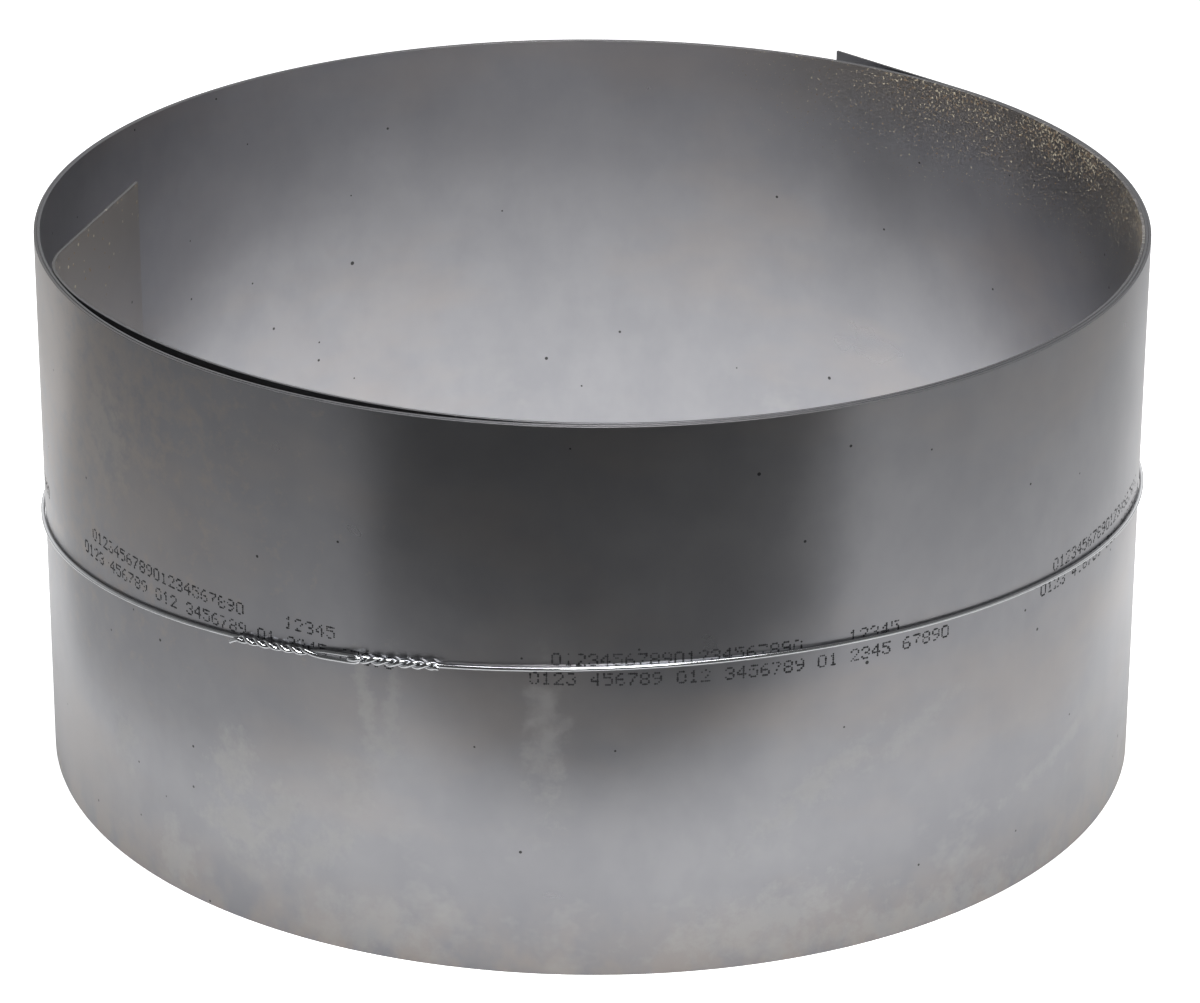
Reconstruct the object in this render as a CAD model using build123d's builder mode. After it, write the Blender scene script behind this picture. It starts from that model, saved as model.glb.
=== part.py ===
from build123d import *
from math import acos, atan2, cos, degrees, radians, sin
import os

# Steel shim stock: one strip of thin steel, wound on edge into a loose coil about 300 mm across,
# tied round its middle with one wire. Millimetres, +Z up. The origin is on the coil's axis at the
# floor. The outer end of the strip lies at the back right, and the inner end at the left.

# The strip, as it is sold: 0.031 in thick, 6 in wide and 100 in long
THICKNESS = 0.7874
WIDTH = 152.4

# The coil is a little wider than deep, so its side and front quarters have their own radius.
# Both are radii of the strip's middle line in the outermost turn.
SIDE_RADIUS = 149.83
FRONT_RADIUS = 151.58
TURN_GAP = 0.05
QUARTER_STEP = (THICKNESS + TURN_GAP) / 4

# Angles are of the strip's outward normal, from +X towards +Y
OUTER_END_ANGLE = 45
TIGHT_QUARTERS = 9
TIGHT_REMAINDER = 37

# The outer end springs off the coil in a straight tail
TAIL_LENGTH = 49.0

# The last third of the inner turn springs inwards, and comes back to touch the turn outside it.
# Then the strip bends once and runs straight across the hollow to its inner end.
SPRUNG_ARCS = ((134.5, 30.0), (175.5, 34.5), (107.0, 14.5))
BEND_RADIUS = 30.0
BEND_ANGLE = 35.0
FLAP_LENGTH = 55.5

# The tie wire: 18 gauge, drawn tight in a plane that tips down towards the back and the left
WIRE_RADIUS = 0.61
WIRE_CLEARANCE = 0.05
WIRE_CENTRE_HEIGHT = 74.5
WIRE_RISE_X = 0.0318
WIRE_RISE_Y = -0.0848
WIRE_TURN_RADIUS = 2.0

# On the front of the coil its two ends hook together: each is doubled back into an eye, and
# twisted round itself
LEFT_TWIST_ANGLE = 233.5
EYES_LEFT_ANGLE = 242.0
EYES_RIGHT_ANGLE = 248.0
RIGHT_TWIST_ANGLE = 255.5
TWIST_LIFT = 0.7
TWIST_GRIP_ANGLE = 1.0


def direction(angle):
    """Unit vector in plan at an angle from +X."""
    return Vector(cos(radians(angle)), sin(radians(angle)))


def quarter_radius(quarter):
    """Radius of the strip's middle line in one quarter, counted inwards from the outer end."""
    first_radius = FRONT_RADIUS if quarter % 2 else SIDE_RADIUS
    return first_radius - quarter * QUARTER_STEP


SIDE_CENTRE = Vector((FRONT_RADIUS - SIDE_RADIUS) * cos(radians(OUTER_END_ANGLE)), 0)
TAIL_ROOT = SIDE_CENTRE + direction(OUTER_END_ANGLE) * SIDE_RADIUS
TAIL_TIP = TAIL_ROOT + direction(OUTER_END_ANGLE + 90) * TAIL_LENGTH


def quarter_centre(quarter):
    """Centre of one quarter's arcs, where it runs on from the last quarter with no kink."""
    centre = SIDE_CENTRE
    for step in range(1, quarter + 1):
        change = quarter_radius(step - 1) - quarter_radius(step)
        centre += direction(OUTER_END_ANGLE - 90 * step) * change
    return centre


# The strip: its middle line from the outer end inwards, given its thickness and its width
with BuildPart() as shim_strip:
    with BuildSketch(Plane.XY):
        with BuildLine():
            run = Line(TAIL_TIP, TAIL_ROOT)
            for quarter in range(TIGHT_QUARTERS):
                run = JernArc(run @ 1, run % 1, quarter_radius(quarter), -90)
            run = JernArc(run @ 1, run % 1, quarter_radius(TIGHT_QUARTERS), -TIGHT_REMAINDER)
            for arc_radius, arc_angle in SPRUNG_ARCS:
                run = JernArc(run @ 1, run % 1, arc_radius, -arc_angle)
            run = JernArc(run @ 1, run % 1, BEND_RADIUS, -BEND_ANGLE)
            run = PolarLine(run @ 1, FLAP_LENGTH, direction=run % 1)
        trace(line_width=THICKNESS)
    extrude(amount=WIDTH)

# Where the wire leaves the back of the coil for the lifted tail. It turns over the tail's end edge.
WIRE_OFFSET = THICKNESS / 2 + WIRE_RADIUS + WIRE_CLEARANCE
TURN_CENTRE = TAIL_TIP + direction(OUTER_END_ANGLE) * (WIRE_OFFSET - WIRE_TURN_RADIUS)
BACK_RADIUS = quarter_radius(3) + WIRE_OFFSET
TO_TURN = TURN_CENTRE - quarter_centre(3)
SPREAD_ANGLE = degrees(acos((BACK_RADIUS - WIRE_TURN_RADIUS) / TO_TURN.length))
LEAVING_ANGLE = degrees(atan2(TO_TURN.Y, TO_TURN.X)) + SPREAD_ANGLE

# The plane that the wire lies in
wire_plane = Plane(
    origin=(0, 0, WIRE_CENTRE_HEIGHT),
    x_dir=(1, 0, WIRE_RISE_X),
    z_dir=(-WIRE_RISE_X, -WIRE_RISE_Y, 1),
)
wire_sheet = Face.make_rect(4 * SIDE_RADIUS, 4 * SIDE_RADIUS, wire_plane)


def wire_arc(quarter, start_angle, end_angle, lift=0):
    """An arc in plan that runs round the outside of one quarter, a hair off the strip."""
    radius = quarter_radius(quarter) + WIRE_OFFSET + lift
    return CenterArc(quarter_centre(quarter), radius, start_angle, end_angle - start_angle)


def on_wire_plane(plan):
    """The line that lies straight above a line in plan, on the wire's plane."""
    return plan.wires()[0].project_to_shape(wire_sheet, direction=(0, 0, 1))[0]


# The wire's run in plan, from the left twist round the back of the coil to the right twist
with BuildLine() as wire_run:
    wire_arc(1, LEFT_TWIST_ANGLE + TWIST_GRIP_ANGLE, OUTER_END_ANGLE + 180)
    wire_arc(2, OUTER_END_ANGLE + 180, OUTER_END_ANGLE + 90)
    back = wire_arc(3, OUTER_END_ANGLE + 90, LEAVING_ANGLE)
    to_tail = PolarLine(back @ 1, TO_TURN.length * sin(radians(SPREAD_ANGLE)), direction=back % 1)
    turn = JernArc(to_tail @ 1, to_tail % 1, WIRE_TURN_RADIUS, OUTER_END_ANGLE - LEAVING_ANGLE)
    PolarLine(turn @ 1, TAIL_LENGTH, direction=turn % 1)
    wire_arc(0, OUTER_END_ANGLE, OUTER_END_ANGLE - 90)
    wire_arc(1, OUTER_END_ANGLE + 270, RIGHT_TWIST_ANGLE - TWIST_GRIP_ANGLE)

# Each twist is two wires thick, so its middle lies further off the strip. The run and the eyes
# end inside the twists that grip them.
with BuildLine() as left_twist:
    wire_arc(1, LEFT_TWIST_ANGLE, EYES_LEFT_ANGLE, TWIST_LIFT)
with BuildLine() as right_twist:
    wire_arc(1, EYES_RIGHT_ANGLE, RIGHT_TWIST_ANGLE, TWIST_LIFT)
with BuildLine() as eyes:
    wire_arc(1, EYES_LEFT_ANGLE - TWIST_GRIP_ANGLE, EYES_RIGHT_ANGLE + TWIST_GRIP_ANGLE)

with BuildPart() as tie_wire:
    run_path = on_wire_plane(wire_run)
    with BuildSketch(Plane(run_path @ 0, z_dir=run_path % 0)):
        Circle(WIRE_RADIUS)
    sweep(path=run_path)
    for twist in (left_twist, right_twist):
        twist_path = on_wire_plane(twist)
        with BuildSketch(Plane(twist_path @ 0, z_dir=twist_path % 0)):
            Circle(2 * WIRE_RADIUS)
        sweep(path=twist_path)
    for side in (-1, 1):
        eye_path = on_wire_plane(eyes).moved(Location((0, 0, side * WIRE_RADIUS)))
        with BuildSketch(Plane(eye_path @ 0, z_dir=eye_path % 0)):
            Circle(WIRE_RADIUS)
        sweep(path=eye_path)

os.makedirs("parts", exist_ok=True)

shim_strip.part.label = "shim_strip"
export_step(shim_strip.part, "parts/shim_strip.step")

tie_wire.part.label = "tie_wire"
export_step(tie_wire.part, "parts/tie_wire.step")
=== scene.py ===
import random
from math import acos, atan2, cos, degrees, pi, radians, sin
import bpy
from mathutils import Matrix, Vector
from mathutils.bvhtree import BVHTree


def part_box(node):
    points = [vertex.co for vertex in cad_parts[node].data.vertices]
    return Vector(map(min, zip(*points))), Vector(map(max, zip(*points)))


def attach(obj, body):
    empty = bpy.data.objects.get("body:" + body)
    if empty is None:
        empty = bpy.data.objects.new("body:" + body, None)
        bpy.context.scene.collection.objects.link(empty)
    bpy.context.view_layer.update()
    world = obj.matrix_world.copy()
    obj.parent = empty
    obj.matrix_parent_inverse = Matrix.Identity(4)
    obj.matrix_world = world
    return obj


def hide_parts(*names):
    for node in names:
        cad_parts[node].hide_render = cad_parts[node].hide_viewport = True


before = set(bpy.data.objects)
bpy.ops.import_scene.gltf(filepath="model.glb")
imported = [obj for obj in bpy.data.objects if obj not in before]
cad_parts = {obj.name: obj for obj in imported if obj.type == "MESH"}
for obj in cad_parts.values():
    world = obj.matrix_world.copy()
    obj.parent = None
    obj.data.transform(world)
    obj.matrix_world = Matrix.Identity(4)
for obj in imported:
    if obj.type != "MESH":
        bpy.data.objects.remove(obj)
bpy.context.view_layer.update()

# The strip
# One length of cold rolled steel, slit to its width and sheared at both ends. It is wound on edge
# into a loose coil: the outer end springs off in a straight tail, and the inner end bends across
# the hollow. Its middle line is a chain of quarter turns, each a little tighter than the last.
THICKNESS = 0.0007874
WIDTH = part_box("shim_strip")[1].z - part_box("shim_strip")[0].z
SIDE_RADIUS = 0.14983
FRONT_RADIUS = 0.15158
TURN_GAP = 0.00005
QUARTER_STEP = (THICKNESS + TURN_GAP) / 4
OUTER_END_ANGLE = 45
TIGHT_QUARTERS = 9
TIGHT_REMAINDER = 37
TAIL_LENGTH = 0.049
SPRUNG_ARCS = ((0.1345, 30.0), (0.1755, 34.5), (0.107, 14.5))
BEND_RADIUS = 0.030
BEND_ANGLE = 35.0
FLAP_LENGTH = 0.0555
STRIP_LENGTH = 2.54


def direction(angle):
    """Unit vector in plan at an angle from +X."""
    return Vector((cos(radians(angle)), sin(radians(angle)), 0))


def quarter_radius(quarter):
    """Radius of the strip's middle line in one quarter, counted inwards from the outer end."""
    first_radius = FRONT_RADIUS if quarter % 2 else SIDE_RADIUS
    return first_radius - quarter * QUARTER_STEP


def follow(start, normal_angle, legs, step=0.75):
    """Points along straight and clockwise legs, each with its outward normal's angle."""
    points = [(start.copy(), normal_angle)]
    place = start.copy()
    for radius, amount in legs:
        if radius is None:
            place = place + direction(normal_angle - 90) * amount
            points.append((place.copy(), normal_angle))
            continue
        centre = place - direction(normal_angle) * radius
        count = max(2, round(amount / step))
        for index in range(1, count + 1):
            angle = normal_angle - amount * index / count
            points.append((centre + direction(angle) * radius, angle))
        normal_angle -= amount
        place = centre + direction(normal_angle) * radius
    return points


SIDE_CENTRE = Vector(((FRONT_RADIUS - SIDE_RADIUS) * cos(radians(OUTER_END_ANGLE)), 0, 0))
TAIL_ROOT = SIDE_CENTRE + direction(OUTER_END_ANGLE) * SIDE_RADIUS
TAIL_TIP = TAIL_ROOT + direction(OUTER_END_ANGLE + 90) * TAIL_LENGTH
strip_legs = [(None, TAIL_LENGTH)]
strip_legs += [(quarter_radius(quarter), 90) for quarter in range(TIGHT_QUARTERS)]
strip_legs += [(quarter_radius(TIGHT_QUARTERS), TIGHT_REMAINDER)]
strip_legs += list(SPRUNG_ARCS) + [(BEND_RADIUS, BEND_ANGLE), (None, FLAP_LENGTH)]
strip_points = follow(TAIL_TIP, OUTER_END_ANGLE, strip_legs)


def curve_through(name, points):
    """A curve object with one straight-run spline through the points."""
    line = bpy.data.curves.new(name, "CURVE")
    line.dimensions = "3D"
    spline = line.splines.new("POLY")
    spline.points.add(len(points) - 1)
    for point, place in zip(spline.points, points):
        point.co = (*place, 1)
    piece = bpy.data.objects.new(name, line)
    bpy.context.collection.objects.link(piece)
    return piece


def node_tree(name, inputs):
    """An empty Geometry Nodes tree with a geometry in and out, and named number inputs."""
    tree = bpy.data.node_groups.new(name, "GeometryNodeTree")
    tree.interface.new_socket("Geometry", in_out="INPUT", socket_type="NodeSocketGeometry")
    tree.interface.new_socket("Geometry", in_out="OUTPUT", socket_type="NodeSocketGeometry")
    for socket_name, value in inputs.items():
        kind = "NodeSocketInt" if isinstance(value, int) else "NodeSocketFloat"
        socket = tree.interface.new_socket(socket_name, in_out="INPUT", socket_type=kind)
        socket.default_value = value
    return tree, tree.nodes.new("NodeGroupInput"), tree.nodes.new("NodeGroupOutput")


def node(tree, kind, inputs, **settings):
    """Adds a node with these settings. Each input is joined to a socket, or set to a value."""
    made = tree.nodes.new(kind)
    for name, value in settings.items():
        setattr(made, name, value)
    for name, value in inputs.items():
        if isinstance(value, bpy.types.NodeSocket):
            tree.links.new(value, made.inputs[name])
        else:
            made.inputs[name].default_value = value
    return made


def math(tree, operation, first, second=0.0, third=0.0):
    """The result socket of one Math node."""
    made = node(tree, "ShaderNodeMath", {0: first, 1: second, 2: third}, operation=operation)
    return made.outputs[0]


def made_mesh(piece, tree, values):
    """Runs the tree on the piece with these input values, and returns the result as a plain mesh."""
    modifier = piece.modifiers.new(tree.name, "NODES")
    modifier.node_group = tree
    for socket in tree.interface.items_tree:
        if socket.in_out == "INPUT" and socket.name in values:
            modifier[socket.identifier] = values[socket.name]
    return as_plain_mesh(piece, tree.name)


def as_plain_mesh(piece, name):
    """Applies a piece's modifiers, and returns the result as a new object with none."""
    bpy.context.view_layer.update()
    graph = bpy.context.evaluated_depsgraph_get()
    mesh = bpy.data.meshes.new_from_object(piece.evaluated_get(graph), depsgraph=graph)
    bpy.data.objects.remove(piece)
    mesh.name = name
    result = bpy.data.objects.new(name, mesh)
    bpy.context.collection.objects.link(result)
    return result


# The sheet: the middle line raised to the strip's width, a little wavy, and climbing a hair from
# turn to turn. Each point keeps its place along and up the strip for the material to read.
sheet_tree, sheet_in, sheet_out = node_tree(
    "strip_sheet",
    {"Width": 0.1, "Rows": 8, "Ripple": 0.0, "Ripple Scale": 10.0, "Climb": 0.0},
)
upright_line = node(
    sheet_tree, "GeometryNodeSetCurveNormal", {"Curve": sheet_in.outputs["Geometry"]}, mode="Z_UP"
)
along = node(sheet_tree, "GeometryNodeSplineParameter", {})
kept_along = node(sheet_tree, "GeometryNodeCaptureAttribute", {})
kept_along.capture_items.new("FLOAT", "Along")
sheet_tree.links.new(upright_line.outputs["Curve"], kept_along.inputs["Geometry"])
sheet_tree.links.new(along.outputs["Length"], kept_along.inputs["Along"])
section_end = node(
    sheet_tree,
    "ShaderNodeCombineXYZ",
    {"Y": math(sheet_tree, "MULTIPLY", sheet_in.outputs["Width"], -1.0)},
)
section = node(sheet_tree, "GeometryNodeCurvePrimitiveLine", {"End": section_end.outputs[0]})
section_rows = node(
    sheet_tree,
    "GeometryNodeResampleCurve",
    {"Curve": section.outputs["Curve"], "Count": sheet_in.outputs["Rows"]},
)
sheet = node(
    sheet_tree,
    "GeometryNodeCurveToMesh",
    {"Curve": kept_along.outputs["Geometry"], "Profile Curve": section_rows.outputs["Curve"]},
)
ripple = node(
    sheet_tree, "ShaderNodeTexNoise", {"Scale": sheet_in.outputs["Ripple Scale"], "Detail": 1.0}
)
ripple_size = math(
    sheet_tree,
    "MULTIPLY",
    math(sheet_tree, "SUBTRACT", ripple.outputs["Fac"], 0.5),
    sheet_in.outputs["Ripple"],
)
sheet_normal = node(sheet_tree, "GeometryNodeInputNormal", {})
ripple_move = node(
    sheet_tree,
    "ShaderNodeVectorMath",
    {0: sheet_normal.outputs["Normal"], "Scale": ripple_size},
    operation="SCALE",
)
climb = math(sheet_tree, "MULTIPLY", kept_along.outputs["Along"], sheet_in.outputs["Climb"])
climb_move = node(sheet_tree, "ShaderNodeCombineXYZ", {"Z": climb})
whole_move = node(
    sheet_tree, "ShaderNodeVectorMath", {0: ripple_move.outputs[0], 1: climb_move.outputs[0]}
)
moved = node(
    sheet_tree,
    "GeometryNodeSetPosition",
    {"Geometry": sheet.outputs["Mesh"], "Offset": whole_move.outputs[0]},
)
sheet_point = node(sheet_tree, "GeometryNodeInputPosition", {})
sheet_height = node(sheet_tree, "ShaderNodeSeparateXYZ", {0: sheet_point.outputs[0]})
flat_place = node(
    sheet_tree,
    "ShaderNodeCombineXYZ",
    {"X": kept_along.outputs["Along"], "Y": sheet_height.outputs["Z"]},
)
placed = node(
    sheet_tree,
    "GeometryNodeStoreNamedAttribute",
    {"Geometry": moved.outputs["Geometry"], "Name": "strip_place", "Value": flat_place.outputs[0]},
    data_type="FLOAT_VECTOR",
)
smooth = node(
    sheet_tree, "GeometryNodeSetShadeSmooth", {"Geometry": placed.outputs["Geometry"]}
)
realized = node(
    sheet_tree, "GeometryNodeRealizeInstances", {"Geometry": smooth.outputs["Geometry"]}
)
strip_steel = bpy.data.materials.new("cold_rolled_steel")
faced = node(
    sheet_tree,
    "GeometryNodeSetMaterial",
    {"Geometry": realized.outputs["Geometry"], "Material": strip_steel},
)
sheet_tree.links.new(faced.outputs["Geometry"], sheet_out.inputs["Geometry"])

RIPPLE = 0.0003
CLIMB = 0.0001
EDGE_RADIUS = 0.0001
strip_sheet = made_mesh(
    curve_through("strip_line", [point for point, angle in strip_points]),
    sheet_tree,
    {"Width": WIDTH, "Rows": 20, "Ripple": RIPPLE, "Ripple Scale": 9.0, "Climb": CLIMB},
)
solid = strip_sheet.modifiers.new("thickness", "SOLIDIFY")
solid.thickness = THICKNESS
solid.offset = 0
edges = strip_sheet.modifiers.new("slit_edges", "BEVEL")
edges.width = EDGE_RADIUS
edges.segments = 2
edges.limit_method = "ANGLE"
edges.angle_limit = radians(60)
edges.harden_normals = True
strip = as_plain_mesh(strip_sheet, "steel_strip")
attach(strip, "root")
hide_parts("shim_strip")


def shader(material):
    """The material's node tree and its Principled shader."""
    material.use_nodes = True
    return material.node_tree, material.node_tree.nodes["Principled BSDF"]


def noise(tree, vector, scale, detail=2.0, roughness=0.5):
    """The value socket of a Noise Texture read at a stretched place. Two scales give a flat one."""
    stretched = node(
        tree, "ShaderNodeVectorMath", {0: vector, 1: (*scale, 1)[:3]}, operation="MULTIPLY"
    )
    made = node(
        tree,
        "ShaderNodeTexNoise",
        {"Vector": stretched.outputs[0], "Scale": 1.0, "Detail": detail, "Roughness": roughness},
        noise_dimensions=f"{len(scale)}D",
    )
    return made.outputs["Fac"]


def ranged(tree, value, low, high, to_low=0.0, to_high=1.0):
    """The value moved from one range to another, and held inside it."""
    made = node(
        tree,
        "ShaderNodeMapRange",
        {"Value": value, "From Min": low, "From Max": high, "To Min": to_low, "To Max": to_high},
    )
    return made.outputs["Result"]


def mixed(tree, amount, first, second):
    """The colour between two colours."""
    made = node(tree, "ShaderNodeMix", {}, data_type="RGBA")
    for name, value in (("Factor", amount), ("A", first), ("B", second)):
        kind = "VALUE" if name == "Factor" else "RGBA"
        socket = next(s for s in made.inputs if s.name == name and s.type == kind)
        if isinstance(value, bpy.types.NodeSocket):
            tree.links.new(value, socket)
        else:
            socket.default_value = value
    return next(s for s in made.outputs if s.type == "RGBA")


def along_at(turned):
    """Length of strip from its outer end to where it has turned this many degrees."""
    length = TAIL_LENGTH
    for quarter in range(TIGHT_QUARTERS + 1):
        length += quarter_radius(quarter) * radians(min(max(turned - 90 * quarter, 0), 90))
    return length


def outer_place(angle, height):
    """The strip's own place, along and up it, of a point on the outside of the coil."""
    return (along_at(OUTER_END_ANGLE + 360 - angle), height, 0)


def patch(tree, place, rim, centre, half_size, lean=0.0):
    """A soft oval mask on the strip, 1 inside and 0 outside, made ragged by the rim's noise."""
    inside = node(
        tree,
        "ShaderNodeMapping",
        {
            "Vector": place,
            "Location": centre,
            "Rotation": (0, 0, radians(lean)),
            "Scale": (*half_size, 1),
        },
        vector_type="TEXTURE",
    )
    distance = node(
        tree, "ShaderNodeVectorMath", {0: inside.outputs["Vector"]}, operation="LENGTH"
    ).outputs["Value"]
    return ranged(tree, math(tree, "ADD", rim, distance), 0.25, 1.15, 1.0, 0.0)


def together(tree, masks):
    """The largest of several masks."""
    result = masks[0]
    for mask in masks[1:]:
        result = math(tree, "MAXIMUM", result, mask)
    return result


def dots(tree, place, spacing, radius, share):
    """Round dots scattered over the strip, one at most in each cell, with a share of them kept."""
    cells = node(
        tree,
        "ShaderNodeTexVoronoi",
        {"Vector": place, "Scale": 1 / spacing, "Randomness": 1.0},
        voronoi_dimensions="2D",
    )
    chance = node(tree, "ShaderNodeSeparateXYZ", {0: cells.outputs["Color"]})
    size = math(tree, "MULTIPLY", ranged(tree, chance.outputs["Y"], 0, 1, 0.5, 1), radius / spacing)
    inside = math(tree, "LESS_THAN", cells.outputs["Distance"], size)
    kept = math(tree, "LESS_THAN", chance.outputs["X"], share)
    return math(tree, "MULTIPLY", inside, kept)


# Coolant that dried on the strip left pale patches. Each has its angle round the coil, its height,
# half its width and height, how far it leans, and its strength.
PALE_PATCHES = (
    (232.5, 0.045, 0.007, 0.009, 0, 1.0),
    (233.5, 0.027, 0.014, 0.008, 20, 1.0),
    (238.5, 0.036, 0.006, 0.009, 0, 0.8),
    (243.0, 0.027, 0.015, 0.004, -45, 0.7),
    (246.5, 0.047, 0.006, 0.009, 0, 0.5),
    (248.2, 0.070, 0.0024, 0.017, -8, 0.8),
    (250.8, 0.072, 0.0022, 0.016, 6, 0.6),
    (250.0, 0.061, 0.006, 0.0025, 25, 0.8),
    (265.8, 0.066, 0.0050, 0.020, -4, 0.6),
    (215.5, 0.035, 0.005, 0.009, 0, 0.7),
    (224.0, 0.010, 0.008, 0.010, 0, 0.8),
    (214.0, 0.122, 0.009, 0.012, 0, 0.5),
    (248.0, 0.008, 0.020, 0.009, 0, 0.6),
    (287.0, 0.012, 0.026, 0.008, -12, 0.7),
    (305.0, 0.004, 0.050, 0.006, 0, 0.7),
    (303.0, 0.058, 0.016, 0.003, -30, 0.5),
    (292.0, 0.048, 0.022, 0.004, -35, 0.6),
    (325.0, 0.033, 0.025, 0.0025, -15, 0.5),
)
steel, steel_shader = shader(strip_steel)
place_read = node(steel, "ShaderNodeAttribute", {}, attribute_name="strip_place")
strip_place = place_read.outputs["Vector"]
strip_axes = node(steel, "ShaderNodeSeparateXYZ", {0: strip_place})
strip_along = strip_axes.outputs["X"]
strip_height = strip_axes.outputs["Y"]

# Bare steel, cloudy in broad drifts and mottled in small ones
STEEL_DARK = (0.292, 0.292, 0.307, 1)
STEEL_LIGHT = (0.333, 0.333, 0.348, 1)
MOTTLE_TONE = (0.265, 0.268, 0.287, 1)
cloud = noise(steel, strip_place, (14, 18), 4.0, 0.6)
steel_tone = mixed(steel, ranged(steel, cloud, 0.3, 0.7), STEEL_DARK, STEEL_LIGHT)
mottle = noise(steel, strip_place, (75, 55), 3.0, 0.6)
steel_tone = mixed(steel, ranged(steel, mottle, 0.62, 0.30, 0, 0.4), steel_tone, MOTTLE_TONE)

# A warm brown bloom in broad clouds, over the upper left of the front, and along the lower edge
WARM_TONE = (0.375, 0.340, 0.318, 1)
WARM_CORNER = outer_place(198, 0.134)
WARM_CORNER_SIZE = (0.085, 0.060)
WARM_EDGE_TOP = 0.022
rim = noise(steel, strip_place, (170, 170), 4.0, 0.7)
rim = math(steel, "MULTIPLY_ADD", rim, 3.2, -1.6)
warm_cloud = noise(steel, strip_place, (9, 22), 4.0, 0.65)
warm_corner = patch(steel, strip_place, rim, WARM_CORNER, WARM_CORNER_SIZE)
warm_edge = math(
    steel,
    "MULTIPLY",
    ranged(steel, strip_height, 0.0, WARM_EDGE_TOP, 1.0, 0.0),
    ranged(steel, mottle, 0.35, 0.6),
)
warm = together(steel, [ranged(steel, warm_cloud, 0.50, 0.72, 0, 0.5), warm_corner, warm_edge])
steel_tone = mixed(steel, math(steel, "MULTIPLY", warm, 0.8), steel_tone, WARM_TONE)

# The pale patches, and a thin scatter of the same stain low on the strip
PALE_TONE = (0.44, 0.435, 0.43, 1)
pale_masks = []
for angle, height, half_width, half_height, lean, strength in PALE_PATCHES:
    centre = outer_place(angle, height)
    mask = patch(steel, strip_place, rim, centre, (half_width, half_height), lean)
    pale_masks.append(math(steel, "MULTIPLY", mask, strength))
pale_cloud = ranged(steel, noise(steel, strip_place, (35, 45), 4.0, 0.65), 0.58, 0.75)
pale_low = math(steel, "MULTIPLY", pale_cloud, ranged(steel, strip_height, 0.02, 0.06, 1, 0))
pale = together(steel, pale_masks + [math(steel, "MULTIPLY", pale_low, 0.8)])
steel_tone = mixed(steel, math(steel, "MULTIPLY", pale, 0.6), steel_tone, PALE_TONE)

# A brown film near the rim of the inner turn's right side, and on the upper part of the flap
FILM_TONE = (0.245, 0.222, 0.196, 1)
RUSTY_START = (along_at(688), along_at(712))
RUSTY_END = (along_at(775), along_at(782))
FILM_LOW = 0.132
inner_turn = math(
    steel,
    "MULTIPLY",
    ranged(steel, strip_along, *RUSTY_START),
    ranged(steel, strip_along, *RUSTY_END, 1, 0),
)
near_rim = ranged(steel, strip_height, FILM_LOW, WIDTH)
rusty = math(steel, "MULTIPLY", inner_turn, near_rim)
bend_start = STRIP_LENGTH - FLAP_LENGTH - BEND_RADIUS * radians(BEND_ANGLE)
on_flap = ranged(steel, strip_along, bend_start - 0.018, bend_start + 0.002)
flap_rusty = math(steel, "MULTIPLY", on_flap, ranged(steel, strip_height, 0.095, 0.15))
film = math(steel, "MULTIPLY", together(steel, [rusty, flap_rusty]), 0.75)
steel_tone = mixed(steel, film, steel_tone, FILM_TONE)

# Flecks of rust in the film, thicker towards the rim and towards the front of the inner turn, and
# a few round dots of it on the flap near the bend
FLECK_LOW = 0.112
FLECK_DARK = (0.22, 0.155, 0.095, 1)
FLECK_LIGHT = (0.52, 0.46, 0.34, 1)
clusters = noise(steel, strip_place, (60, 90), 3.0, 0.6)
fleck_field = noise(steel, strip_place, (1200, 1200), 2.0, 0.6)
fleck_rise = math(steel, "POWER", ranged(steel, strip_height, FLECK_LOW, WIDTH), 1.6)
density = math(steel, "MULTIPLY", inner_turn, fleck_rise)
density = math(steel, "MULTIPLY", density, ranged(steel, clusters, 0.30, 0.60, 0.45, 1))
towards_front = ranged(steel, strip_along, along_at(700), along_at(745), 0.55, 1.15)
density = math(steel, "MULTIPLY", density, towards_front)
fleck_height = math(steel, "MULTIPLY_ADD", density, 0.20, fleck_field)
flecks = ranged(steel, fleck_height, 0.725, 0.755)
flecks = math(steel, "MULTIPLY", flecks, ranged(steel, density, 0.0, 0.1))
by_bend = ranged(steel, strip_along, bend_start + 0.02, bend_start + 0.06, 1.0, 0.45)
flap_dots = math(steel, "MULTIPLY", flap_rusty, by_bend)
flap_dots = math(steel, "MULTIPLY", flap_dots, dots(steel, strip_place, 0.0036, 0.00055, 0.32))
flecks = together(steel, [flecks, ranged(steel, flap_dots, 0.35, 0.45)])
fleck_shade = ranged(steel, noise(steel, strip_place, (500, 500), 2.0), 0.4, 0.6)
fleck_colour = mixed(steel, fleck_shade, FLECK_DARK, FLECK_LIGHT)
steel_tone = mixed(steel, flecks, steel_tone, fleck_colour)

# Dark specks of grit, a few large and more small
SPECK_TONE = (0.012, 0.012, 0.014, 1)
large_specks = dots(steel, strip_place, 0.030, 0.0006, 0.10)
small_specks = dots(steel, strip_place, 0.012, 0.00042, 0.07)
specks = together(steel, [large_specks, small_specks])
steel_tone = mixed(steel, specks, steel_tone, SPECK_TONE)

# The slit edges, which face up and down, are darker and rougher than the rolled faces. The darker tone
# is partly painted shade: it also covers the rounded corners, dimming the rim and its highlights
SLIT_AND_SHADE_TONE = (0.075, 0.075, 0.080, 1)
surface = node(steel, "ShaderNodeNewGeometry", {})
surface_axes = node(steel, "ShaderNodeSeparateXYZ", {0: surface.outputs["True Normal"]})
slit_and_painted_shade = ranged(steel, math(steel, "ABSOLUTE", surface_axes.outputs["Z"]), 0.2, 0.5)
steel_tone = mixed(steel, math(steel, "MULTIPLY", slit_and_painted_shade, 0.85), steel_tone, SLIT_AND_SHADE_TONE)
steel.links.new(steel_tone, steel_shader.inputs["Base Color"])

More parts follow.
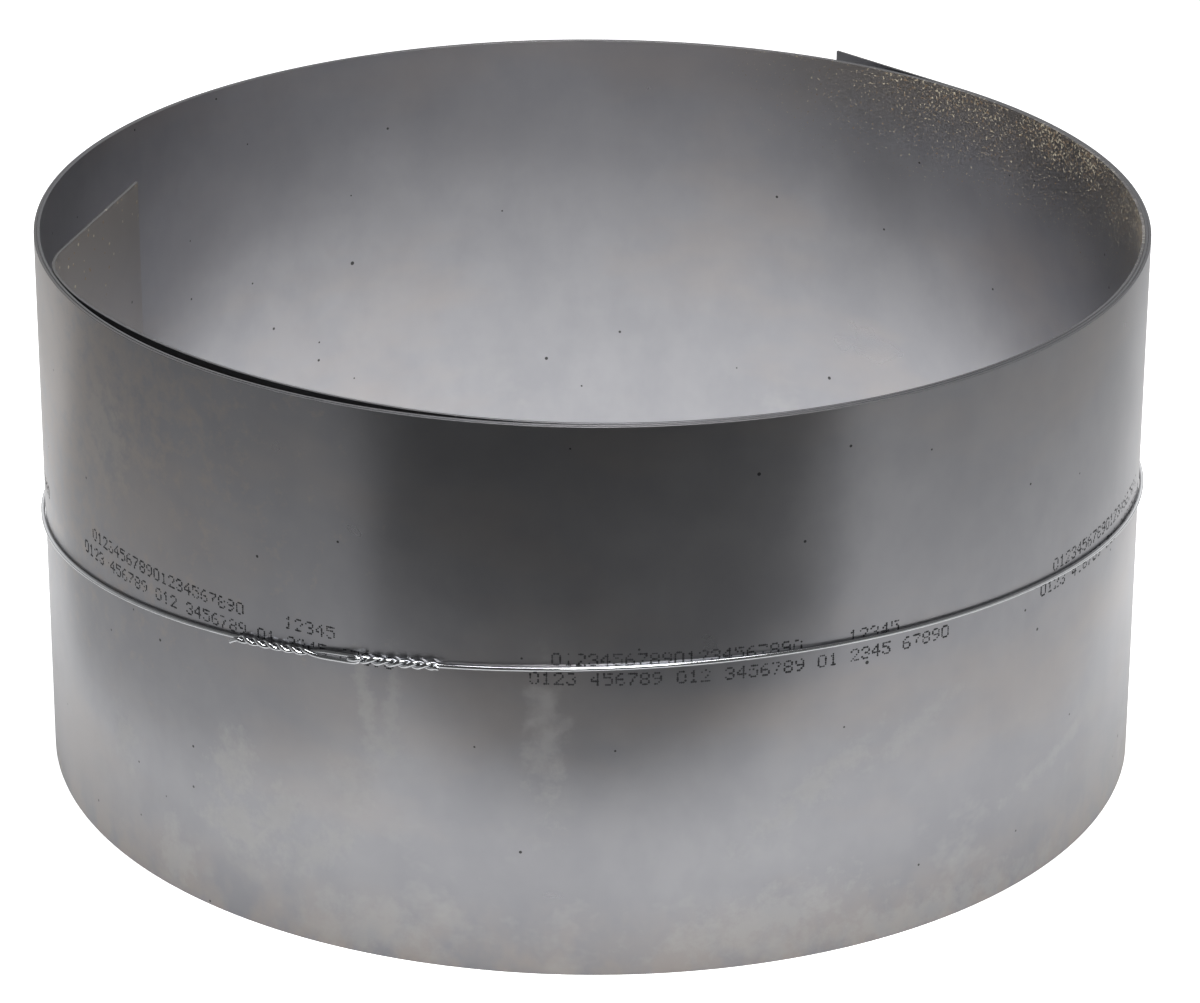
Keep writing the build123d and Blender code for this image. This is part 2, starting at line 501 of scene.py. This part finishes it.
# Rust and grit aren't metal, and what lies on the steel dulls it. The rolls left a fine grain
# along the strip, and small pits.
bare = math(steel, "SUBTRACT", 1.0, together(steel, [flecks, specks]))
steel.links.new(bare, steel_shader.inputs["Metallic"])
steel_roughness = math(
    steel,
    "ADD",
    ranged(steel, cloud, 0.25, 0.75, 0.27, 0.33),
    math(steel, "MULTIPLY", together(steel, [pale, film, flecks, slit_and_painted_shade]), 0.13),
)
steel.links.new(steel_roughness, steel_shader.inputs["Roughness"])
grain = noise(steel, strip_place, (60, 3000), 2.0, 0.6)
pits = noise(steel, strip_place, (1600, 1600), 1.0, 0.5)
relief = math(steel, "MULTIPLY_ADD", pits, 0.6, grain)
grain_bump = node(
    steel, "ShaderNodeBump", {"Height": relief, "Strength": 0.35, "Distance": 0.00002}
)
steel.links.new(grain_bump.outputs["Normal"], steel_shader.inputs["Normal"])

# The print
# Two rows of counting numbers along the strip, sprayed on in dots of ink by the slitting line's
# printer and repeated down its length. The ink is thin, and dots of it are rubbed away. Each row
# has the angle it starts at, its height and its characters.
DOT_PITCH = 0.0005
DOT_RADIUS = 0.00030
DOT_LIFT = 0.00002
LEAST_DOT = 0.7
MOST_DOT = 1.15
CHARACTER_STEP = 0.0031
PRINT_REPEAT = 56.5
UPPER_ROW = (210.0, 0.0900, "012345678901234567890    12345")
LOWER_ROW = (207.9, 0.0846, "0123 456789 012 3456789 01 2345 67890")
ROW_FALL = 0.000008
DIGITS = (
    ".###. #...# #...# #...# #...# #...# .###.",
    "..#.. .##.. ..#.. ..#.. ..#.. ..#.. .###.",
    ".###. #...# ....# ...#. ..#.. .#... #####",
    ".###. #...# ....# ..##. ....# #...# .###.",
    "...#. ..##. .#.#. #..#. ##### ...#. ...#.",
    "##### #.... ####. ....# ....# #...# .###.",
    "..##. .#... #.... ####. #...# #...# .###.",
    "##### ....# ...#. ..#.. ..#.. .#... .#...",
    ".###. #...# #...# .###. #...# #...# .###.",
    ".###. #...# #...# .#### ....# ...#. .##..",
)
PER_DEGREE = radians(1) * FRONT_RADIUS

# The rows have their given heights at LEVEL_AT and fall a hair to the right. Past WORN_FROM more and
# more of their dots are gone.
LEVEL_AT = 211
MISSING_SHARES = (0.02, 0.06, 0.12, 0.2)
WORN_FROM = 335
WORN_OVER = 25
strip_tree = BVHTree.FromPolygons(
    [vertex.co for vertex in strip.data.vertices],
    [tuple(polygon.vertices) for polygon in strip.data.polygons],
)
rubbed = random.Random(31)
dot_places = []
dot_facings = []
for repeat in range(-2, 3):
    for start, height, text in (UPPER_ROW, LOWER_ROW):
        for index, character in enumerate(text):
            if character == " ":
                continue
            missing = rubbed.choice(MISSING_SHARES)
            for line_index, line_dots in enumerate(DIGITS[int(character)].split()):
                for column, dot in enumerate(line_dots):
                    across = index * CHARACTER_STEP + column * DOT_PITCH
                    angle = start + repeat * PRINT_REPEAT + across / PER_DEGREE
                    worn = max(0, angle - WORN_FROM) / WORN_OVER
                    if dot == "." or rubbed.random() < missing + worn:
                        continue
                    row_height = height + (3 - line_index) * DOT_PITCH
                    row_height -= (angle - LEVEL_AT) * ROW_FALL
                    near = direction(angle) * (FRONT_RADIUS + THICKNESS)
                    near.z = row_height
                    found, facing = strip_tree.find_nearest(near)[:2]
                    dot_places.append(found + facing * DOT_LIFT)
                    dot_facings.append(facing)

dot_mesh = bpy.data.meshes.new("print_places")
dot_mesh.from_pydata(dot_places, [], [])
facing_data = dot_mesh.attributes.new("facing", "FLOAT_VECTOR", "POINT")
for item, facing in zip(facing_data.data, dot_facings):
    item.vector = facing
dot_object = bpy.data.objects.new("print_places", dot_mesh)
bpy.context.collection.objects.link(dot_object)

print_tree, print_in, print_out = node_tree("ink_dots", {"Radius": 0.001, "Sides": 8, "Seed": 4})
dot_shape = node(
    print_tree,
    "GeometryNodeMeshCircle",
    {"Vertices": print_in.outputs["Sides"], "Radius": print_in.outputs["Radius"]},
    fill_type="NGON",
)
facing_read = node(
    print_tree, "GeometryNodeInputNamedAttribute", {"Name": "facing"}, data_type="FLOAT_VECTOR"
)
dot_turn = node(
    print_tree,
    "FunctionNodeAlignRotationToVector",
    {"Vector": facing_read.outputs["Attribute"]},
    axis="Z",
)
dot_size = node(print_tree, "FunctionNodeRandomValue", {"Seed": print_in.outputs["Seed"]})
dot_size.inputs[2].default_value = LEAST_DOT
dot_size.inputs[3].default_value = MOST_DOT
placed_dots = node(
    print_tree,
    "GeometryNodeInstanceOnPoints",
    {
        "Points": print_in.outputs["Geometry"],
        "Instance": dot_shape.outputs["Mesh"],
        "Rotation": dot_turn.outputs["Rotation"],
        "Scale": dot_size.outputs[1],
    },
)
real_dots = node(
    print_tree, "GeometryNodeRealizeInstances", {"Geometry": placed_dots.outputs["Instances"]}
)
black_ink = bpy.data.materials.new("black_ink")
inked = node(
    print_tree,
    "GeometryNodeSetMaterial",
    {"Geometry": real_dots.outputs["Geometry"], "Material": black_ink},
)
print_tree.links.new(inked.outputs["Geometry"], print_out.inputs["Geometry"])
printed = made_mesh(dot_object, print_tree, {"Radius": DOT_RADIUS, "Sides": 8, "Seed": 4})
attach(printed, "root")

ink, ink_shader = shader(black_ink)
ink_place = node(ink, "ShaderNodeTexCoord", {}).outputs["Object"]
ink_wear = noise(ink, ink_place, (500, 500, 500), 2.0)
INK_FULL = (0.010, 0.010, 0.012, 1)
INK_THIN = (0.030, 0.030, 0.034, 1)
ink_tone = mixed(ink, ranged(ink, ink_wear, 0.35, 0.65), INK_FULL, INK_THIN)
ink.links.new(ink_tone, ink_shader.inputs["Base Color"])
ink.links.new(ranged(ink, ink_wear, 0.3, 0.7, 0.5, 0.65), ink_shader.inputs["Roughness"])
ink_shader.inputs["Specular IOR Level"].default_value = 0.25

# The tie wire
# One galvanised wire of 18 gauge, drawn tight round the coil in a slightly tipped plane. At the
# front each end is doubled back into a long eye and twisted round itself, and the eyes hook
# together.
WIRE_RADIUS = 0.00061
WIRE_CLEARANCE = 0.00005
WIRE_CENTRE_HEIGHT = 0.0745
WIRE_RISE_X = 0.0318
WIRE_RISE_Y = -0.0848
WIRE_TURN_RADIUS = 0.002
LEFT_TWIST_ANGLE = 234.2
EYES_LEFT_ANGLE = 242.0
EYES_RIGHT_ANGLE = 248.0
RIGHT_TWIST_ANGLE = 255.5
TWIST_PITCH_ANGLE = 2.7
WIRE_OFFSET = THICKNESS / 2 + WIRE_RADIUS + WIRE_CLEARANCE


def quarter_centre(quarter):
    """Centre of one quarter's arcs, where it runs on from the last quarter with no kink."""
    centre = SIDE_CENTRE.copy()
    for step in range(1, quarter + 1):
        change = quarter_radius(step - 1) - quarter_radius(step)
        centre += direction(OUTER_END_ANGLE - 90 * step) * change
    return centre


def on_front(angle, out, up):
    """A place on the front of the coil: at an angle, out from the wall, and above the wire's plane."""
    radius = quarter_radius(1) + THICKNESS / 2 + out
    place = quarter_centre(1) + direction(angle) * radius
    return raised(place, up)


def raised(place, up=0.0):
    """The place lifted onto the wire's plane, or a little above it."""
    height = WIRE_CENTRE_HEIGHT + WIRE_RISE_X * place.x + WIRE_RISE_Y * place.y + up
    return Vector((place.x, place.y, height))


def twisted(start_angle, end_angle, run_angle, hand, turn=0.0):
    """One wire of a twist. It lies against the wall at run_angle, and winds by its hand from there."""
    count = round(abs(end_angle - start_angle) / TWIST_PITCH_ANGLE * 16)
    strand = []
    for index in range(count + 1):
        angle = start_angle + (end_angle - start_angle) * index / count
        wind = pi + turn + hand * 2 * pi * (angle - run_angle) / TWIST_PITCH_ANGLE
        out = 2 * WIRE_RADIUS + WIRE_CLEARANCE + WIRE_RADIUS * cos(wind)
        strand.append(on_front(angle, out, WIRE_RADIUS * sin(wind)))
    return strand


back_radius = quarter_radius(3) + WIRE_OFFSET
turn_centre = TAIL_TIP + direction(OUTER_END_ANGLE) * (WIRE_OFFSET - WIRE_TURN_RADIUS)
to_turn = turn_centre - quarter_centre(3)
spread = acos((back_radius - WIRE_TURN_RADIUS) / to_turn.length)
leaving_angle = degrees(atan2(to_turn.y, to_turn.x) + spread)
run_legs = [
    (quarter_radius(1) + WIRE_OFFSET, LEFT_TWIST_ANGLE - OUTER_END_ANGLE - 180),
    (quarter_radius(2) + WIRE_OFFSET, 90),
    (back_radius, OUTER_END_ANGLE + 90 - leaving_angle),
    (None, to_turn.length * sin(spread)),
    (WIRE_TURN_RADIUS, leaving_angle - OUTER_END_ANGLE),
    (None, TAIL_LENGTH),
    (quarter_radius(0) + WIRE_OFFSET, 90),
    (quarter_radius(1) + WIRE_OFFSET, OUTER_END_ANGLE + 270 - RIGHT_TWIST_ANGLE),
]
run_start = on_front(LEFT_TWIST_ANGLE, WIRE_RADIUS + WIRE_CLEARANCE, 0)
run_start.z = 0
run_points = [raised(point) for point, angle in follow(run_start, LEFT_TWIST_ANGLE, run_legs)]

# The listed spots of the wire's ends and eyes: angle, distance out and height above the plane
LEFT_STUB = ((233.35, 0.0021, -0.0011), (233.6, 0.0021, -0.0008), (233.95, 0.0020, -0.0004))
LEFT_EYE = (
    (243.2, 0.0016, -0.00066),
    (244.6, 0.0016, -0.00072),
    (246.2, 0.0016, -0.00082),
    (247.2, 0.0017, -0.00090),
    (247.7, 0.0019, -0.00060),
    (247.8, 0.0020, 0.00000),
    (247.7, 0.0019, 0.00060),
    (247.2, 0.0016, 0.00090),
    (246.2, 0.0013, 0.00082),
    (244.6, 0.0010, 0.00072),
    (243.2, 0.0009, 0.00066),
)
RIGHT_EYE = (
    (247.6, 0.0009, -0.00050),
    (247.1, 0.0007, -0.00015),
    (246.7, 0.0010, 0.00000),
    (246.6, 0.0017, 0.00010),
    (246.9, 0.0026, 0.00015),
    (247.5, 0.0028, 0.00035),
    (248.0, 0.0020, 0.00060),
)
RIGHT_STUB = ((255.8, 0.0018, -0.0003),)


def laid(spots):
    """The places of listed spots."""
    return [on_front(*spot) for spot in spots]


wire_points = (
    laid(LEFT_STUB)
    + twisted(LEFT_TWIST_ANGLE, EYES_LEFT_ANGLE, LEFT_TWIST_ANGLE, -1, pi)
    + laid(LEFT_EYE)
    + twisted(EYES_LEFT_ANGLE, LEFT_TWIST_ANGLE, LEFT_TWIST_ANGLE, -1)
    + run_points[1:-1]
    + twisted(RIGHT_TWIST_ANGLE, EYES_RIGHT_ANGLE, RIGHT_TWIST_ANGLE, 1)
    + laid(RIGHT_EYE)
    + twisted(EYES_RIGHT_ANGLE, RIGHT_TWIST_ANGLE, RIGHT_TWIST_ANGLE, 1, pi)
    + laid(RIGHT_STUB)
)
wire_line = curve_through("wire_line", wire_points)
wire_spline = wire_line.data.splines[0]
wire_spline.type = "NURBS"
wire_spline.order_u = 4
wire_spline.use_endpoint_u = True
wire_line.data.resolution_u = 2

wire_tree, wire_in, wire_out = node_tree("tie_wire_round", {"Radius": 0.001, "Sides": 12})
wire_section = node(
    wire_tree,
    "GeometryNodeCurvePrimitiveCircle",
    {"Resolution": wire_in.outputs["Sides"], "Radius": wire_in.outputs["Radius"]},
)
wire_tube = node(
    wire_tree,
    "GeometryNodeCurveToMesh",
    {
        "Curve": wire_in.outputs["Geometry"],
        "Profile Curve": wire_section.outputs["Curve"],
        "Fill Caps": True,
    },
)
wire_smooth = node(
    wire_tree, "GeometryNodeSetShadeSmooth", {"Geometry": wire_tube.outputs["Mesh"]}
)
wire_realized = node(
    wire_tree, "GeometryNodeRealizeInstances", {"Geometry": wire_smooth.outputs["Geometry"]}
)
wire_zinc = bpy.data.materials.new("galvanised_wire")
wire_faced = node(
    wire_tree,
    "GeometryNodeSetMaterial",
    {"Geometry": wire_realized.outputs["Geometry"], "Material": wire_zinc},
)
wire_tree.links.new(wire_faced.outputs["Geometry"], wire_out.inputs["Geometry"])
tie_wire = made_mesh(wire_line, wire_tree, {"Radius": WIRE_RADIUS, "Sides": 12})
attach(tie_wire, "root")
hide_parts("tie_wire")

zinc, zinc_shader = shader(wire_zinc)
zinc_shader.inputs["Metallic"].default_value = 1.0
zinc_place = node(zinc, "ShaderNodeTexCoord", {}).outputs["Object"]
zinc_cloud = noise(zinc, zinc_place, (900, 900, 900), 3.0)
ZINC_DARK = (0.44, 0.45, 0.47, 1)
ZINC_LIGHT = (0.58, 0.59, 0.60, 1)
zinc_tone = mixed(zinc, zinc_cloud, ZINC_DARK, ZINC_LIGHT)
zinc.links.new(zinc_tone, zinc_shader.inputs["Base Color"])
zinc.links.new(ranged(zinc, zinc_cloud, 0.3, 0.7, 0.11, 0.16), zinc_shader.inputs["Roughness"])

# The studio
# A plain pale floor, a large soft light overhead and a smaller one in front, a world that is
# bright behind the coil and dark in front, and the camera where the photograph was taken from.
FLOOR_REACH = 6
FLOOR_TONE = (0.8, 0.8, 0.8, 1)
FLOOR_GLOW = 0.85
bpy.context.scene.view_settings.view_transform = "Standard"
floor_corners = [
    (-FLOOR_REACH, -FLOOR_REACH, 0),
    (FLOOR_REACH, -FLOOR_REACH, 0),
    (FLOOR_REACH, FLOOR_REACH, 0),
    (-FLOOR_REACH, FLOOR_REACH, 0),
]
floor_mesh = bpy.data.meshes.new("floor")
floor_mesh.from_pydata(floor_corners, [], [(0, 1, 2, 3)])
floor = bpy.data.objects.new("floor", floor_mesh)
bpy.context.collection.objects.link(floor)
floor_paint = bpy.data.materials.new("floor_paint")
floor_mesh.materials.append(floor_paint)
floor_nodes, floor_shader = shader(floor_paint)
floor_shader.inputs["Base Color"].default_value = FLOOR_TONE
floor_shader.inputs["Roughness"].default_value = 0.9
floor_shader.inputs["Specular IOR Level"].default_value = 0.0
floor_shader.inputs["Emission Color"].default_value = (1, 1, 1, 1)
floor_rays = node(floor_nodes, "ShaderNodeLightPath", {})
floor_nodes.links.new(
    math(floor_nodes, "MULTIPLY", floor_rays.outputs["Is Camera Ray"], FLOOR_GLOW),
    floor_shader.inputs["Emission Strength"],
)

# The room's light, bright at the back, darker at the front and overhead. The bare background is
# white, and dull surfaces get a low even fill.
BACK_LEVEL = 1.45
FRONT_LEVEL = 0.15
OVERHEAD_SHARE = 0.25
OVERHEAD_FROM = 0.15
OVERHEAD_FULL = 0.45
FILL_LEVEL = 0.12
TOWARDS_BACK = (0.25, 0.97, 0)
BACK_FALL = 1.3
world = bpy.data.worlds.new("studio")
bpy.context.scene.world = world
world.use_nodes = True
sky = world.node_tree
sky_place = node(sky, "ShaderNodeTexCoord", {}).outputs["Generated"]
facing_back = node(
    sky, "ShaderNodeVectorMath", {0: sky_place, 1: TOWARDS_BACK}, operation="DOT_PRODUCT"
)
sky_around = ranged(sky, facing_back.outputs["Value"], -1, 1)
sky_around = math(sky, "POWER", sky_around, BACK_FALL)
sky_around = ranged(sky, sky_around, 0, 1, FRONT_LEVEL, BACK_LEVEL)
sky_axes = node(sky, "ShaderNodeSeparateXYZ", {0: sky_place})
sky_height = ranged(
    sky, sky_axes.outputs["Z"], OVERHEAD_FROM, OVERHEAD_FULL, 1.0, OVERHEAD_SHARE
)
sky_around = math(sky, "MULTIPLY", sky_around, sky_height)
sky_rays = node(sky, "ShaderNodeLightPath", {})
sky_glossy = math(sky, "MULTIPLY", sky_rays.outputs["Is Glossy Ray"], sky_around)
sky_level = math(
    sky,
    "ADD",
    math(sky, "ADD", sky_rays.outputs["Is Camera Ray"], sky_glossy),
    math(sky, "MULTIPLY", sky_rays.outputs["Is Diffuse Ray"], FILL_LEVEL),
)
sky.links.new(sky_level, sky.nodes["Background"].inputs["Strength"])
sky.nodes["Background"].inputs["Color"].default_value = (1, 1, 1, 1)


def soft_light(name, place, target, size, power, spread):
    """A square area lamp that faces the target."""
    lamp = bpy.data.lights.new(name, "AREA")
    lamp.size = size
    lamp.energy = power
    lamp.spread = radians(spread)
    holder = bpy.data.objects.new(name, lamp)
    holder.location = place
    holder.rotation_euler = (Vector(target) - Vector(place)).to_track_quat("-Z", "Y").to_euler()
    bpy.context.collection.objects.link(holder)


soft_light("light_top", (0, 0.05, 0.8), (0, 0.05, 0), 0.5, 3.4, 100)
soft_light("light_front", (0.05, -0.75, 0.9), (0.02, -0.18, 0), 0.35, 1.1, 60)

CARD_HEIGHT = 0.001


def floor_card(name, level, corners):
    """A grey card just over the floor that only mirror-like rays see, a painted reflection of shade.
    """
    mesh = bpy.data.meshes.new(name)
    mesh.from_pydata([(x, y, CARD_HEIGHT) for x, y in corners], [], [tuple(range(len(corners)))])
    card = bpy.data.objects.new(name, mesh)
    bpy.context.collection.objects.link(card)
    card.visible_camera = False
    card.visible_diffuse = False
    card.visible_shadow = False
    paint = bpy.data.materials.new(name)
    mesh.materials.append(paint)
    card_shader = shader(paint)[1]
    card_shader.inputs["Base Color"].default_value = (level, level, level, 1)
    card_shader.inputs["Roughness"].default_value = 1.0
    card_shader.inputs["Specular IOR Level"].default_value = 0.0


# Past a hand's breadth of pale floor the steel shows the dark room, painted into its reflections by
# these cards: dark in front, and greyer at each side
floor_card(
    "card_front",
    0.09,
    [
        (-0.17, -0.255),
        (0.21, -0.255),
        (1.2, -1.0),
        (1.2, -3.0),
        (-2.0, -3.0),
        (-2.0, -1.2),
        (-0.29, -0.36),
    ],
)
floor_card(
    "card_left",
    0.44,
    [
        (-0.13, -0.225),
        (-0.18, -0.145),
        (-0.205, -0.05),
        (-0.21, 0.02),
        (-0.27, 0.13),
        (-2.0, 0.7),
        (-2.0, -1.19),
        (-0.295, -0.355),
        (-0.175, -0.25),
    ],
)
floor_card(
    "card_right",
    0.66,
    [
        (0.13, -0.225),
        (0.18, -0.145),
        (0.205, -0.05),
        (0.24, 0.05),
        (0.30, 0.20),
        (1.2, 0.9),
        (1.5, 0.0),
        (1.2, -0.9),
        (0.21, -0.24),
    ],
)

# The camera, fitted to the outlines of the coil in the photograph
CAMERA_DISTANCE = 1.39099
CAMERA_ELEVATION = 23.572
CAMERA_ROLL = 0.273
FOCAL_PIXELS = 5002.3
PHOTO_WIDTH = 1200
camera_data = bpy.data.cameras.new("camera")
camera_data.sensor_width = 36
camera_data.lens = FOCAL_PIXELS / PHOTO_WIDTH * camera_data.sensor_width
camera = bpy.data.objects.new("camera", camera_data)
bpy.context.collection.objects.link(camera)
turned = Matrix.Rotation(radians(90 - CAMERA_ELEVATION), 4, "X")
turned = turned @ Matrix.Rotation(radians(CAMERA_ROLL), 4, "Z")
AIM_RIGHT = 0.0025
AIM_DROP = 0.00852
aim = Vector((AIM_RIGHT, 0, WIDTH / 2)) + (turned @ Vector((0, -AIM_DROP, 0)))
camera.matrix_world = Matrix.Translation(aim + turned @ Vector((0, 0, CAMERA_DISTANCE))) @ turned
bpy.context.scene.camera = camera
